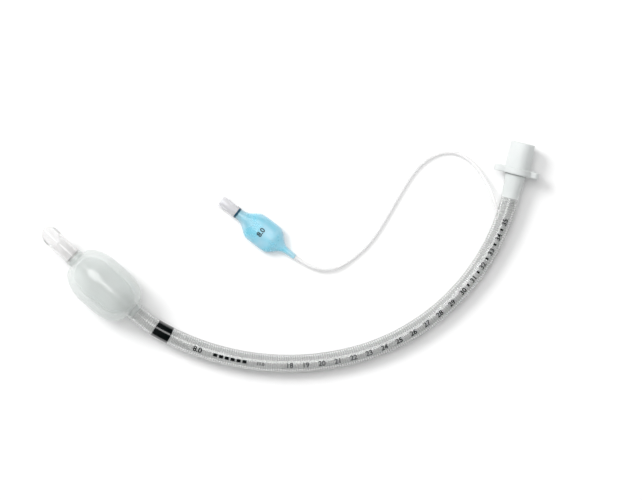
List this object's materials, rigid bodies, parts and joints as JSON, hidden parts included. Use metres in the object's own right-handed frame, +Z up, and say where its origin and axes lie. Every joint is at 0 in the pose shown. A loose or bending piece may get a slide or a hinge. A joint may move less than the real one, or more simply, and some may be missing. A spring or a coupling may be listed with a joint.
{
  "type": "endotracheal tube",
  "caption": "Curved wire-reinforced breathing tube with a bevelled tip, inflatable cuff, 15 mm connector and an inflation line with pilot balloon and spring valve.",
  "frame": {"origin": "middle of the footprint of the breathing tube with its cuff and connector, on the surface it lies on", "axes": "+Z up from the surface; +X along the curve's chord from the bevelled tip towards the connector; +Y towards the open side of the curve"},
  "size_m": [0.3078, 0.1439, 0.034],
  "materials": {
    "clear_pvc": "gloss",
    "shaft_pvc": "gloss",
    "wire": "bright",
    "cuff_film": "satin",
    "connector_plastic": "gloss",
    "line_pvc": "gloss",
    "balloon_film": "gloss",
    "valve_plastic": "gloss",
    "stem_plastic": "satin",
    "seal_rubber": "matte",
    "spring_steel": "bright"
  },
  "bodies": {
    "tube": {"reinforced_shaft": "shaft_pvc", "soft_tip": "clear_pvc", "wire_spiral": "wire", "cuff": "cuff_film", "connector": "connector_plastic", "inflation_line": "line_pvc", "pilot_balloon": "balloon_film", "valve_body": "valve_plastic", "valve_spring": "spring_steel"},
    "valve_plunger": {"valve_stem": "stem_plastic", "valve_seal": "seal_rubber"}
  },
  "joints": [
    {"name": "valve_press", "type": "slide", "parent": "tube", "child": "valve_plunger", "axis": [0.7923, -0.6101, 0], "range_m": [0, 0.0015], "stiffness_N_per_m": 300, "springref_m": -0.002, "deforming": ["valve_spring"]}
  ]
}
